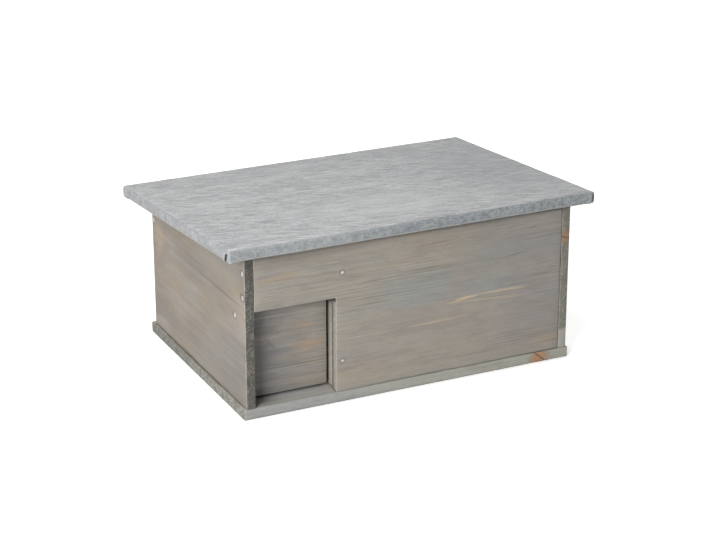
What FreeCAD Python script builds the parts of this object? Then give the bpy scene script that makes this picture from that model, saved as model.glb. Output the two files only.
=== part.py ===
"""A wooden hedgehog house with a felt-covered, hinged roof and a swinging entrance flap.

Frame: millimetres, +Z up, the front faces -Y and +X is to the right seen from the front.
The origin is the centre of the base board's underside, on the ground.
"""
import FreeCAD, Part
import os
import re
import Sketcher

# Driving dimensions, each with a cell of its own
SIZES = {
    # House box, measured over the outer faces of the walls and up from the base board's top
    "house_width": 450,
    "house_depth": 310,
    "wall_thickness": 12,
    "front_height": 199,
    "back_height": 175,
    "base_thickness": 14,
    "base_side_ledge": 3,
    "base_back_ledge": 8,
    # Entrance at the lower left of the front wall, and the partition behind its right edge
    "entrance_width": 108,
    "entrance_height": 125,
    "partition_thickness": 12,
    "partition_reveal": 2.5,
    "partition_roof_gap": 1,
    "passage_width": 106,
    # Flap that hangs behind the entrance
    "flap_thickness": 12,
    "flap_setback": 25,
    "flap_wall_gap": 2,
    "flap_jamb_gap": 1,
    "flap_floor_gap": 3,
    "flap_top_drop": 2,
    "flap_head": 10,
    # Roof board, measured along its slope, and the felt drawn over it
    "roof_thickness": 12,
    "roof_side_overhang": 23.5,
    "roof_front_overhang": 14.5,
    "felt_thickness": 1.5,
    "felt_return": 8,
    "felt_edge_radius": 2.5,
    "felt_leaf_gap": 4.7,
    # Butt hinges in the corner between the back wall and the roof
    "hinge_length": 50,
    "hinge_inset": 60,
    "leaf_width": 20,
    "leaf_thickness": 1.2,
    "knuckle_radius": 3,
    "knuckle_clearance": 0.3,
    "knuckle_end_gap": 0.3,
    "pin_radius": 1.5,
    "pin_play": 0.05,
    "pin_head_radius": 2.3,
    "pin_head_height": 0.8,
    "hinge_screw_spacing": 30,
    "hinge_screw_offset": 13,
    # Countersunk wood screws with a cross recess, for the boards and for the hinges
    "screw_head_radius": 3.6,
    "screw_shank_radius": 1.75,
    "screw_length": 35,
    "screw_point": 5,
    "screw_recess_length": 4,
    "screw_recess_width": 0.9,
    "screw_recess_depth": 1.2,
    "hinge_screw_head_radius": 2.8,
    "hinge_screw_shank_radius": 1.4,
    "hinge_screw_length": 10,
    "hinge_screw_point": 3,
    "hinge_screw_recess_length": 3,
    "hinge_screw_recess_width": 0.7,
    "hinge_screw_recess_depth": 0.8,
    "screw_play": 0.05,
    "pivot_head_play": 0.3,
    "bore_relief": 3,
    "base_screw_sink": 0.5,
    "front_screw_low": 41,
    "front_screw_drop": 42,
    "back_screw_drop": 27,
    "base_screw_inset": 40,
    # Staples through the felt's turned-under edges
    "staple_width": 10,
    "staple_wire": 0.9,
    "staple_leg": 8,
    "staple_inset": 45,
}

# Dimensions that follow from the driving ones
DERIVED = {
    "inner_width": "house_width - 2 * wall_thickness",
    "base_width": "house_width + 2 * base_side_ledge",
    "base_depth": "house_depth + base_back_ledge",
    "left_x": "-house_width / 2",
    "right_x": "house_width / 2",
    "front_y": "-base_depth / 2",
    "back_y": "front_y + house_depth",
    "wall_top": "base_thickness + front_height",
    "lintel_height": "front_height - entrance_height",
    "roof_fall": "(front_height - back_height) / house_depth",
    "roof_slope": "atan(roof_fall)",
    "jamb_x": "left_x + wall_thickness + entrance_width",
    "partition_x": "jamb_x + partition_reveal",
    "partition_right_x": "partition_x + partition_thickness",
    "partition_length": "house_depth - 2 * wall_thickness - passage_width",
    "flap_x": "left_x + wall_thickness + flap_wall_gap",
    "flap_width": "entrance_width - flap_wall_gap - flap_jamb_gap",
    "flap_height": "entrance_height - flap_top_drop - flap_floor_gap",
    "pivot_y": "front_y + flap_setback + flap_thickness / 2",
    "pivot_z": "base_thickness + entrance_height - flap_top_drop - flap_head",
    "knuckle_offset": "knuckle_radius + knuckle_clearance",
    "hinge_y": "back_y + knuckle_offset",
    "hinge_drop": "(knuckle_offset + (house_depth + knuckle_offset) * sin(roof_slope)) / cos(roof_slope)",
    "hinge_z": "wall_top - hinge_drop",
    "hinge_run": "(house_depth + knuckle_offset) * cos(roof_slope) + hinge_drop * sin(roof_slope)",
    "roof_width": "house_width + 2 * roof_side_overhang",
    "roof_reach": "hinge_run + leaf_width + felt_leaf_gap + felt_return",
    "roof_length": "roof_front_overhang + roof_reach",
    "hinge_left_x": "left_x + hinge_inset",
    "hinge_right_x": "right_x - hinge_inset - hinge_length",
}

# Ways that a screw is driven, as turns of its own +Z
UPRIGHT = FreeCAD.Rotation()
TO_RIGHT = FreeCAD.Rotation(FreeCAD.Vector(0, 1, 0), 90)
TO_LEFT = FreeCAD.Rotation(FreeCAD.Vector(0, 1, 0), -90)
TO_BACK = FreeCAD.Rotation(FreeCAD.Vector(1, 0, 0), -90)
TO_FRONT = FreeCAD.Rotation(FreeCAD.Vector(1, 0, 0), 90)
# Turn of the hinge leaf that lies on the back wall: it runs down from the pin, with its face to the wall
DOWN_WALL = FreeCAD.Rotation(FreeCAD.Vector(-1, 0, 0), FreeCAD.Vector(0, 0, -1), FreeCAD.Vector(0, -1, 0))
# The roof's turn has no fixed angle: it follows the slope of the walls
ALONG_ROOF = None
ROOF_TURN_AXIS = FreeCAD.Vector(-1, 0, 0)

doc = FreeCAD.newDocument("hedgehog_house")
sheet = doc.addObject("Spreadsheet::Sheet", "Sizes")
subparts = []


def fill_sheet():
    """Write the sizes into the sheet, one row each, with the alias beside the value."""
    rows = [(alias, str(value)) for alias, value in SIZES.items()]
    rows += [(alias, "=" + formula) for alias, formula in DERIVED.items()]
    for row, (alias, content) in enumerate(rows, start=1):
        sheet.set(f"A{row}", alias)
        sheet.set(f"B{row}", content)
        sheet.setAlias(f"B{row}", alias)
    doc.recompute()


def formula(text):
    """Return an expression in which every size is read from the sheet."""
    def from_sheet(match):
        word = match.group(0)
        return f"Sizes.{word}" if word in SIZES or word in DERIVED else word
    return re.sub(r"[a-z_]+", from_sheet, str(text))


def roof_point(across, along, above):
    """Place on the roof: across from the left wall, along the slope from the front, above the underside."""
    return (
        f"left_x + ({across})",
        f"front_y + ({along}) * cos(roof_slope) + ({above}) * sin(roof_slope)",
        f"wall_top + ({above}) * cos(roof_slope) - ({along}) * sin(roof_slope)",
    )


def place(thing, position, turn=UPRIGHT):
    """Bind a thing's place to the sheet and turn it."""
    if turn is ALONG_ROOF:
        thing.Placement = FreeCAD.Placement(FreeCAD.Vector(), FreeCAD.Rotation(ROOF_TURN_AXIS, 1))
        thing.setExpression("Placement.Rotation.Angle", formula("roof_slope"))
    else:
        thing.Placement = FreeCAD.Placement(FreeCAD.Vector(), turn)
    for axis, text in zip("xyz", position):
        thing.setExpression(f"Placement.Base.{axis}", formula(text))


def new_sketch(body, name, plane, lift="0"):
    """Start a sketch on one of the body's own planes, lifted off it by a size."""
    sketch = body.newObject("Sketcher::SketchObject", name)
    origin_plane = [item for item in body.Origin.OriginFeatures if item.Role == plane][0]
    sketch.AttachmentSupport = [(origin_plane, "")]
    sketch.MapMode = "FlatFace"
    if lift != "0":
        sketch.setExpression("AttachmentOffset.Base.z", formula(lift))
    return sketch


def bind(sketch, constraint, text):
    """Add a constraint and bind its value to the sheet."""
    index = sketch.addConstraint(constraint)
    sketch.setExpression(f"Constraints[{index}]", formula(text))


def pin_point(sketch, edge, end, across, up):
    """Hold one point of a sketch at a place given from the sketch's origin."""
    for kind, axis, text in (("DistanceX", -2, across), ("DistanceY", -1, up)):
        if text == "0":
            sketch.addConstraint(Sketcher.Constraint("PointOnObject", edge, end, axis))
        else:
            bind(sketch, Sketcher.Constraint(kind, -1, 1, edge, end, 1.0), text)


def value_of(text):
    """Return the present value of a size formula, for a sketch's first guess."""
    return float(sheet.evalExpression(formula(text)))


def draw_outline(sketch, corners):
    """Draw a closed polygon whose corners are held by sizes."""
    first = sketch.GeometryCount
    places = [FreeCAD.Vector(value_of(across), value_of(up), 0) for across, up in corners]
    for start, end in zip(places, places[1:] + places[:1]):
        sketch.addGeometry(Part.LineSegment(start, end))
    for index in range(len(corners)):
        following = (index + 1) % len(corners)
        sketch.addConstraint(Sketcher.Constraint("Coincident", first + index, 2, first + following, 1))
    for index, (across, up) in enumerate(corners):
        pin_point(sketch, first + index, 1, across, up)


def draw_rectangle(sketch, low, high):
    """Draw a rectangle between two opposite corners."""
    draw_outline(sketch, [low, (high[0], low[1]), high, (low[0], high[1])])


def draw_circle(sketch, radius):
    """Draw a circle round the sketch's origin."""
    index = sketch.addGeometry(
        Part.Circle(FreeCAD.Vector(), FreeCAD.Vector(0, 0, 1), value_of(radius))
    )
    sketch.addConstraint(Sketcher.Constraint("Coincident", index, 3, -1, 1))
    bind(sketch, Sketcher.Constraint("Radius", index, value_of(radius)), radius)


def pad(body, sketch, length):
    """Raise a sketch into a solid."""
    feature = body.newObject("PartDesign::Pad", sketch.Name + "_pad")
    feature.Profile = sketch
    feature.setExpression("Length", formula(length))
    doc.recompute()
    return feature


def pocket(body, sketch, depth=None, backwards=False):
    """Cut a sketch out of the body, to a depth or right through, and make sure that it cut."""
    volume = body.Shape.Volume
    feature = body.newObject("PartDesign::Pocket", sketch.Name + "_pocket")
    feature.Profile = sketch
    feature.Reversed = backwards
    if depth is None:
        feature.Type = "ThroughAll"
    else:
        feature.setExpression("Length", formula(depth))
    doc.recompute()
    if body.Shape.Volume >= volume:
        raise ValueError(f"{feature.Name} cuts nothing")
    return feature


def board(name, plane, corners, thickness, position, turn=UPRIGHT):
    """A board: an outline on one plane, as thick as the board."""
    body = doc.addObject("PartDesign::Body", name)
    sketch = new_sketch(body, name + "_outline", plane)
    draw_outline(sketch, corners)
    pad(body, sketch, thickness)
    place(body, position, turn)
    return body


def rectangle(width, height):
    """Corners of a rectangle that starts at the sketch's origin."""
    return [("0", "0"), (width, "0"), (width, height), ("0", height)]


def under_roof(depth_from_front, length, drop="0"):
    """Corners of an upright board, seen from the side, whose top follows the roof's underside."""
    front = f"front_height - roof_fall * ({depth_from_front}) - ({drop})"
    back = f"front_height - roof_fall * ({depth_from_front} + {length}) - ({drop})"
    return [("0", "0"), (length, "0"), (length, back), ("0", front)]


def keep(thing, label):
    """Count a finished thing as a sub-part of the house."""
    thing.Label = label
    subparts.append(thing)
    return thing


def bored(blank, label, bores):
    """A board with its screw holes cut out."""
    tools = doc.addObject("Part::Compound", label + "_bores")
    tools.Links = bores
    cut = doc.addObject("Part::Cut", label + "_bored")
    cut.Base = blank
    cut.Tool = tools
    return keep(cut, label)


def copies(master, name, spots, turn):
    """Links to a master, one at each spot."""
    links = []
    for spot in spots:
        link = doc.addObject("App::Link", name)
        link.LinkedObject = master
        place(link, spot, turn)
        links.append(link)
    return links


def group(master, label, spots, turn):
    """A sub-part that is a set of like pieces, each a separate solid."""
    compound = doc.addObject("Part::Compound", label)
    compound.Links = copies(master, label + "_piece", spots, turn)
    return keep(compound, label)


def screw_shape(name, size, shank_play="0", head_play="0", relief="0"):
    """A countersunk screw along +Z from its head, or with play added, the hole that it goes into."""
    head = f"{size}_head_radius + {head_play}"
    shank = f"{size}_shank_radius + {shank_play}"
    cone = f"{size}_head_radius - {size}_shank_radius"
    corners = [
        ("0", f"-({relief})"),
        (head, f"-({relief})"),
        (head, "0"),
        (shank, cone),
        (shank, f"{size}_length - {size}_point"),
        ("0", f"{size}_length + {shank_play}"),
    ]
    if relief == "0":
        corners = [("0", "0"), (head, "0")] + corners[3:]
    body = doc.addObject("PartDesign::Body", name)
    sketch = new_sketch(body, name + "_profile", "XZ_Plane")
    draw_outline(sketch, corners)
    turned = body.newObject("PartDesign::Revolution", name + "_turned")
    turned.Profile = sketch
    turned.ReferenceAxis = (sketch, ["V_Axis"])
    turned.Angle = 360
    doc.recompute()
    return body


def cut_recess(body, size):
    """Cut the cross recess into a screw's head."""
    reach = f"{size}_recess_length / 2"
    half = f"{size}_recess_width / 2"
    corners = [
        (reach, f"-{half}"), (reach, half), (half, half), (half, reach),
        (f"-{half}", reach), (f"-{half}", half), (f"-{reach}", half), (f"-{reach}", f"-{half}"),
        (f"-{half}", f"-{half}"), (f"-{half}", f"-{reach}"), (half, f"-{reach}"), (half, f"-{half}"),
    ]
    sketch = new_sketch(body, body.Name + "_recess", "XY_Plane")
    draw_outline(sketch, corners)
    pocket(body, sketch, f"{size}_recess_depth", backwards=True)


def staple_shape():
    """A wire staple: its crown lies below the felt and its two legs point up, along +Z."""
    body = doc.addObject("PartDesign::Body", "staple")
    sketch = new_sketch(body, "staple_outline", "XZ_Plane", "-staple_wire / 2")
    inner = "staple_width - staple_wire"
    corners = [
        ("0", "-staple_wire"), ("staple_width", "-staple_wire"), ("staple_width", "staple_leg"),
        (inner, "staple_leg"), (inner, "0"), ("staple_wire", "0"),
        ("staple_wire", "staple_leg"), ("0", "staple_leg"),
    ]
    draw_outline(sketch, corners)
    pad(body, sketch, "staple_wire")
    return body


def leaf(label, windows, position, turn):
    """A hinge leaf: a plate and a rolled knuckle round the pin, with windows for the other leaf."""
    body = doc.addObject("PartDesign::Body", label)
    plate = new_sketch(body, label + "_plate", "YZ_Plane")
    draw_rectangle(plate, ("0", "knuckle_offset - leaf_thickness"), ("leaf_width", "knuckle_offset"))
    pad(body, plate, "hinge_length")
    roll = new_sketch(body, label + "_roll", "YZ_Plane")
    draw_circle(roll, "knuckle_radius")
    pad(body, roll, "hinge_length")
    bore = new_sketch(body, label + "_bore", "YZ_Plane")
    draw_circle(bore, "pin_radius + pin_play")
    pocket(body, bore, backwards=True)
    gap = new_sketch(body, label + "_windows", "XY_Plane")
    for start, end in windows:
        draw_rectangle(gap, (start, "-knuckle_offset"), (end, "knuckle_offset"))
    feature = pocket(body, gap)
    feature.Midplane = True
    place(body, position, turn)
    return body


def hinge_pin(label, position):
    """A hinge pin with a flat head at each end."""
    pieces = []
    for name, radius, height, start in (
        ("shank", "pin_radius", "hinge_length", "0"),
        ("first_head", "pin_head_radius", "pin_head_height", "-pin_head_height"),
        ("second_head", "pin_head_radius", "pin_head_height", "hinge_length"),
    ):
        piece = doc.addObject("Part::Cylinder", f"{label}_{name}")
        piece.setExpression("Radius", formula(radius))
        piece.setExpression("Height", formula(height))
        place(piece, (f"{position} + ({start})", "hinge_y", "hinge_z"), TO_RIGHT)
        pieces.append(piece)
    pin = doc.addObject("Part::MultiFuse", label)
    pin.Shapes = pieces
    return keep(pin, label)


def evenly(start, end, count):
    """Places spread evenly from start to end, both included."""
    return [f"{start} + ({end} - ({start})) * {index} / {count - 1}" for index in range(count)]


fill_sheet()

# Fasteners and the holes that they go into
wood_screw = screw_shape("wood_screw", "screw")
cut_recess(wood_screw, "screw")
screw_hole = screw_shape("screw_hole", "screw", "screw_play", "screw_play", "bore_relief")
pivot_hole = screw_shape("pivot_hole", "screw", "screw_play", "pivot_head_play", "bore_relief")
hinge_screw = screw_shape("hinge_screw", "hinge_screw")
cut_recess(hinge_screw, "hinge_screw")
hinge_screw_hole = screw_shape(
    "hinge_screw_hole", "hinge_screw", "screw_play", "screw_play", "bore_relief"
)
staple = staple_shape()

# Spots of the fasteners, each a place of the head and shared with its hole
screw_high_z = "base_thickness + entrance_height + lintel_height * 2 / 3"
screw_mid_z = "base_thickness + entrance_height + lintel_height / 4"
screw_low_z = "base_thickness + front_screw_low"
front_edge_y = "front_y + wall_thickness / 2"
back_edge_y = "back_y - wall_thickness / 2"
left_edge_x = "left_x + wall_thickness / 2"
right_edge_x = "right_x - wall_thickness / 2"
partition_mid_x = "partition_x + partition_thickness / 2"
back_screw_z = "base_thickness + back_height - back_screw_drop"
partition_front_y = "front_y + wall_thickness"

front_spots = [
    (partition_mid_x, "front_y", screw_low_z),
    (partition_mid_x, "front_y", "wall_top - front_screw_drop"),
]
left_front_spots = [("left_x", front_edge_y, screw_mid_z), ("left_x", front_edge_y, screw_high_z)]
left_back_spots = [("left_x", back_edge_y, back_screw_z)]
right_front_spots = [("right_x", front_edge_y, screw_low_z), ("right_x", front_edge_y, screw_high_z)]
right_back_spots = [("right_x", back_edge_y, back_screw_z)]
pivot_left_spots = [("left_x", "pivot_y", "pivot_z")]
pivot_right_spots = [("partition_right_x", "pivot_y", "pivot_z")]
side_rows = evenly("front_y + base_screw_inset", "back_y - base_screw_inset", 3)
base_left_spots = [(left_edge_x, row, "base_screw_sink") for row in side_rows]
base_right_spots = [(right_edge_x, row, "base_screw_sink") for row in side_rows]
front_columns = evenly("partition_right_x + base_screw_inset", "right_x - base_screw_inset", 2)
base_front_spots = [(column, front_edge_y, "base_screw_sink") for column in front_columns]
back_columns = evenly("left_x + base_screw_inset", "right_x - base_screw_inset", 3)
base_back_spots = [(column, back_edge_y, "base_screw_sink") for column in back_columns]
partition_rows = evenly(
    f"{partition_front_y} + base_screw_inset",
    f"{partition_front_y} + partition_length - base_screw_inset",
    2,
)
base_partition_spots = [(partition_mid_x, row, "base_screw_sink") for row in partition_rows]
hinge_screw_columns = [
    f"{start} + hinge_length / 2 {sign} hinge_screw_spacing / 2"
    for start in ("hinge_left_x", "hinge_right_x")
    for sign in "-+"
]
hinge_wall_spots = [
    (column, "back_y + leaf_thickness", "hinge_z - hinge_screw_offset")
    for column in hinge_screw_columns
]
hinge_roof_spots = [
    roof_point(f"{column} - left_x", "hinge_run + hinge_screw_offset", "-leaf_thickness")
    for column in hinge_screw_columns
]
staple_columns = evenly(
    "staple_inset - roof_side_overhang",
    "house_width + roof_side_overhang - staple_inset - staple_width",
    5,
)
staple_lines = ["felt_return / 2 - roof_front_overhang", "roof_reach - felt_return / 2"]
staple_spots = [
    roof_point(column, line, "-felt_thickness") for line in staple_lines for column in staple_columns
]

# Base board
base_blank = board(
    "base_blank", "XY_Plane", rectangle("base_width", "base_depth"), "base_thickness",
    ("-base_width / 2", "-base_depth / 2", "0"),
)
base_spots = base_left_spots + base_right_spots + base_front_spots + base_back_spots
base_bores = copies(screw_hole, "base_bore", base_spots + base_partition_spots, UPRIGHT)
bored(base_blank, "base_board", base_bores)

# Side walls
left_blank = board(
    "left_blank", "YZ_Plane", under_roof("0", "house_depth"), "wall_thickness",
    ("left_x", "front_y", "base_thickness"),
)
left_bores = copies(screw_hole, "left_bore", left_front_spots + left_back_spots, TO_RIGHT)
left_bores += copies(pivot_hole, "left_pivot_bore", pivot_left_spots, TO_RIGHT)
left_bores += copies(screw_hole, "left_base_bore", base_left_spots, UPRIGHT)
bored(left_blank, "left_wall", left_bores)

right_blank = board(
    "right_blank", "YZ_Plane", under_roof("0", "house_depth"), "wall_thickness",
    ("right_x - wall_thickness", "front_y", "base_thickness"),
)
right_bores = copies(screw_hole, "right_bore", right_front_spots + right_back_spots, TO_LEFT)
right_bores += copies(screw_hole, "right_base_bore", base_right_spots, UPRIGHT)
bored(right_blank, "right_wall", right_bores)

# Front wall, notched for the entrance
front_blank = board(
    "front_blank", "YZ_Plane", under_roof("0", "wall_thickness"), "inner_width",
    ("left_x + wall_thickness", "front_y", "base_thickness"),
)
entrance = new_sketch(front_blank, "entrance", "XZ_Plane")
draw_rectangle(entrance, ("0", "0"), ("entrance_width", "entrance_height"))
pocket(front_blank, entrance)
front_bores = copies(screw_hole, "front_bore", front_spots, TO_BACK)
front_bores += copies(screw_hole, "front_left_bore", left_front_spots, TO_RIGHT)
front_bores += copies(screw_hole, "front_right_bore", right_front_spots, TO_LEFT)
front_bores += copies(screw_hole, "front_base_bore", base_front_spots, UPRIGHT)
bored(front_blank, "front_wall", front_bores)

# Back wall
back_blank = board(
    "back_blank", "YZ_Plane", under_roof("house_depth - wall_thickness", "wall_thickness"), "inner_width",
    ("left_x + wall_thickness", "back_y - wall_thickness", "base_thickness"),
)
back_bores = copies(screw_hole, "back_left_bore", left_back_spots, TO_RIGHT)
back_bores += copies(screw_hole, "back_right_bore", right_back_spots, TO_LEFT)
back_bores += copies(screw_hole, "back_base_bore", base_back_spots, UPRIGHT)
back_bores += copies(hinge_screw_hole, "back_hinge_bore", hinge_wall_spots, TO_FRONT)
bored(back_blank, "back_wall", back_bores)

# Partition, which makes a corridor behind the entrance and leaves a passage at its back end
partition_blank = board(
    "partition_blank", "YZ_Plane", under_roof("wall_thickness", "partition_length", "partition_roof_gap"),
    "partition_thickness", ("partition_x", partition_front_y, "base_thickness"),
)
partition_bores = copies(screw_hole, "partition_bore", front_spots, TO_BACK)
partition_bores += copies(pivot_hole, "partition_pivot_bore", pivot_right_spots, TO_LEFT)
partition_bores += copies(screw_hole, "partition_base_bore", base_partition_spots, UPRIGHT)
bored(partition_blank, "partition_wall", partition_bores)

# Entrance flap and the two screws that it turns on
flap_blank = board(
    "flap_blank", "XY_Plane", rectangle("flap_width", "flap_thickness"), "flap_height",
    ("flap_x", "front_y + flap_setback", "base_thickness + flap_floor_gap"),
)
flap_bores = copies(screw_hole, "flap_left_bore", pivot_left_spots, TO_RIGHT)
flap_bores += copies(screw_hole, "flap_right_bore", pivot_right_spots, TO_LEFT)
bored(flap_blank, "entrance_flap", flap_bores)
group(wood_screw, "flap_pivot_screw_left", pivot_left_spots, TO_RIGHT)
group(wood_screw, "flap_pivot_screw_right", pivot_right_spots, TO_LEFT)

# Roof board
roof_blank = board(
    "roof_blank", "XY_Plane", rectangle("roof_width", "roof_length"), "roof_thickness",
    roof_point("-roof_side_overhang", "-roof_front_overhang", "0"), ALONG_ROOF,
)
roof_bores = copies(hinge_screw_hole, "roof_hinge_bore", hinge_roof_spots, ALONG_ROOF)
roof_bores += copies(staple, "roof_staple_bore", staple_spots, ALONG_ROOF)
bored(roof_blank, "roof_board", roof_bores)

# Felt, drawn over the board's top and edges and turned under them
felt_blank = board(
    "felt_blank", "XY_Plane",
    rectangle("roof_width + 2 * felt_thickness", "roof_length + 2 * felt_thickness"),
    "roof_thickness + 2 * felt_thickness",
    roof_point(
        "-roof_side_overhang - felt_thickness", "-roof_front_overhang - felt_thickness", "-felt_thickness"
    ),
    ALONG_ROOF,
)
felt_block = felt_blank.Tip
felt_round = felt_blank.newObject("PartDesign::Fillet", "felt_round")
felt_round.Base = (felt_block, [""])
felt_round.UseAllEdges = True
felt_round.setExpression("Radius", formula("felt_edge_radius"))
doc.recompute()
felt_mouth = new_sketch(felt_blank, "felt_mouth", "XY_Plane")
felt_rim = "felt_thickness + felt_return"
draw_rectangle(
    felt_mouth, (felt_rim, felt_rim),
    ("roof_width + felt_thickness - felt_return", "roof_length + felt_thickness - felt_return"),
)
pocket(felt_blank, felt_mouth, "felt_thickness", backwards=True)
felt_hollow = new_sketch(felt_blank, "felt_hollow", "XY_Plane", "felt_thickness")
draw_rectangle(
    felt_hollow, ("felt_thickness", "felt_thickness"),
    ("roof_width + felt_thickness", "roof_length + felt_thickness"),
)
pocket(felt_blank, felt_hollow, "roof_thickness", backwards=True)
bored(felt_blank, "roof_felt", copies(staple, "felt_staple_bore", staple_spots, ALONG_ROOF))
group(staple, "felt_staples", staple_spots, ALONG_ROOF)

# Hinges: the wall leaf keeps the outer knuckles and the roof leaf the middle one
first_joint = "hinge_length / 3"
second_joint = "hinge_length * 2 / 3"
wall_windows = [(f"{first_joint} - knuckle_end_gap / 2", f"{second_joint} + knuckle_end_gap / 2")]
roof_windows = [
    ("0", f"{first_joint} + knuckle_end_gap / 2"),
    (f"{second_joint} - knuckle_end_gap / 2", "hinge_length"),
]
for side, start in (("left", "hinge_left_x"), ("right", "hinge_right_x")):
    wall_leaf = leaf(
        f"wall_leaf_{side}", wall_windows, (f"{start} + hinge_length", "hinge_y", "hinge_z"), DOWN_WALL
    )
    bored(
        wall_leaf, f"hinge_wall_leaf_{side}",
        copies(hinge_screw_hole, "wall_leaf_bore", hinge_wall_spots, TO_FRONT),
    )
    roof_leaf = leaf(f"roof_leaf_{side}", roof_windows, (start, "hinge_y", "hinge_z"), ALONG_ROOF)
    bored(
        roof_leaf, f"hinge_roof_leaf_{side}",
        copies(hinge_screw_hole, "roof_leaf_bore", hinge_roof_spots, ALONG_ROOF),
    )
    hinge_pin(f"hinge_pin_{side}", start)
group(hinge_screw, "hinge_wall_screws", hinge_wall_spots, TO_FRONT)
group(hinge_screw, "hinge_roof_screws", hinge_roof_spots, ALONG_ROOF)

# Screws that hold the boards together
group(wood_screw, "front_wall_screws", front_spots, TO_BACK)
group(wood_screw, "left_wall_front_screws", left_front_spots, TO_RIGHT)
group(wood_screw, "left_wall_back_screw", left_back_spots, TO_RIGHT)
group(wood_screw, "right_wall_front_screws", right_front_spots, TO_LEFT)
group(wood_screw, "right_wall_back_screw", right_back_spots, TO_LEFT)
group(wood_screw, "base_left_screws", base_left_spots, UPRIGHT)
group(wood_screw, "base_right_screws", base_right_spots, UPRIGHT)
group(wood_screw, "base_front_screws", base_front_spots, UPRIGHT)
group(wood_screw, "base_back_screws", base_back_spots, UPRIGHT)
group(wood_screw, "base_partition_screws", base_partition_spots, UPRIGHT)

doc.recompute()
failed = [item.Name for item in doc.Objects if {"Invalid", "Error"} & set(item.State)]
if failed:
    raise RuntimeError(f"these objects failed: {failed}")
for subpart in subparts:
    if subpart.Shape.isNull() or not subpart.Shape.isValid():
        raise RuntimeError(f"{subpart.Label} has no valid shape")

os.makedirs("parts", exist_ok=True)
for subpart in subparts:
    subpart.Shape.exportStep(f"parts/{subpart.Label}.step")
    print(subpart.Label, len(subpart.Shape.Solids), round(subpart.Shape.Volume, 1))
for name in ("pivot_y", "pivot_z", "hinge_y", "hinge_z", "roof_slope"):
    print(name, sheet.get(name))
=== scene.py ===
"""Looks of the hedgehog house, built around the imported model.

The boards are rebuilt as slightly uneven planks with eased arrises and sunk screw heads, and the roofing
felt as one sheet wrapped over the roof board with a tuck at each corner. Every surface has a procedural
finish. Lengths are in metres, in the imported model's own frame: Z up, the front towards -Y.
"""

import itertools
import math
import random

import bmesh
import bpy
from mathutils import Matrix, Vector, noise


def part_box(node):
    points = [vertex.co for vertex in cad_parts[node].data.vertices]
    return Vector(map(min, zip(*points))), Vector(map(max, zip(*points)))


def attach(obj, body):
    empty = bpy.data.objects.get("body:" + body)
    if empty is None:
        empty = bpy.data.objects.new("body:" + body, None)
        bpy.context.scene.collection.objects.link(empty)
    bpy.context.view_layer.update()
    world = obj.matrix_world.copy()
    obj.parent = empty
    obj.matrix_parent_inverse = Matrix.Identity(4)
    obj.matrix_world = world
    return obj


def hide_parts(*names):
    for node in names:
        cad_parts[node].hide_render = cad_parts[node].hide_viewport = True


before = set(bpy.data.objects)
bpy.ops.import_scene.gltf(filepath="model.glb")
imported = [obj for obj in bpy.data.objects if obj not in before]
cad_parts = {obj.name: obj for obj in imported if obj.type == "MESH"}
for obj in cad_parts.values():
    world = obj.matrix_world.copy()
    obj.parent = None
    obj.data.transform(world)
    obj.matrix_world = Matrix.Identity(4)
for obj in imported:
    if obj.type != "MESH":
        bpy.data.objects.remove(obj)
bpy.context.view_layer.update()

MM = 0.001
# Points this close lie on one face, or are one point
TOUCH = 0.05 * MM
SAME_POINT = 0.01 * MM

# The photograph's camera: where it looks, from how far, and at what angles in degrees
AIM = Vector((2.4, 0.2, 103.3)) * MM
DISTANCE = 2.677
AZIMUTH = 25.98
ELEVATION = 20.85
LENS_MM = 103.04
SENSOR_MM = 36.0

# Planks: the cells of their skin, the rounding of their arrises, their wear and the screws' recesses
CELL = 11 * MM
ARRIS_RADIUS = 1.1 * MM
ARRIS_STEPS = 3
SHARP = math.radians(40)
UNEVEN = 0.22 * MM
UNEVEN_LEVEL = 0.5
UNEVEN_SLOW = 0.35
UNEVEN_QUICK = 0.15
SLOW_WAVES = 14
QUICK_WAVES = 70
DENT = 0.7 * MM
DENT_SHARE = 0.035
RECESS_PLAY = 0.25 * MM
RECESS_DEPTH = 1.6 * MM
RECESS_SIDES = 36

# Felt sheet: its section and grid, how it swells, and how its corners are tucked
FELT_THICKNESS = 1.5 * MM
FELT_RETURN = 8 * MM
FELT_ARRIS = 3.6 * MM
FELT_ARRIS_STEPS = 5
FELT_SIDE_STEPS = 6
FELT_RETURN_STEPS = 3
FELT_CORNER = 3 * MM
FELT_CELL = 5 * MM
FELT_FINE_CELL = 0.7 * MM
FELT_FINE_REACH = 18 * MM
FELT_WELD = 0.02 * MM
FELT_SEED = 3
FELT_SWELL = 1.5 * MM
SWELL_ON_TOP = 0.45
SWELL_SLOW = 0.65
SWELL_QUICK = 0.35
SWELL_SLOW_WAVES = 22
SWELL_QUICK_WAVES = 75
FOLD_START = 0.15
FOLD_REACH = 0.2
SLIT_WIDTH = 1.3 * MM
SLIT_DEPTH = 2.6 * MM
BULGE_BEHIND = 4.6 * MM
BULGE_RISE = 1.7 * MM
BULGE_WIDTH = 3.4 * MM
DARK_BEHIND = 0.9 * MM
DARK_WIDTH = 1.1 * MM
DROOP_REACH = 14 * MM
DROOP_RATE = 1.5

# Eased edges of screws and hinge leaves
EASE_WIDTH = 0.25 * MM
EASE_STEPS = 2
EASE_WELD = 0.005 * MM
EASE_FLAT = math.radians(2)

# Floor: half its size, between where its lift to white grows, and the shadow where the object touches it
FLOOR_HALF = 8.0
LIFT_NEAR = 0.5
LIFT_FAR = 1.6
CONTACT_REACH = 24 * MM
CONTACT_SAMPLES = 4
CONTACT_SPAN = (0.5, 0.95)
CONTACT_LIFT = 0.3


def colour(red, green, blue):
    """Linear colour, with alpha, of an sRGB colour from 0 to 255."""

    def linear(level):
        share = level / 255
        return share / 12.92 if share <= 0.04045 else ((share + 0.055) / 1.055) ** 2.4

    return (linear(red), linear(green), linear(blue), 1.0)


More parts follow.
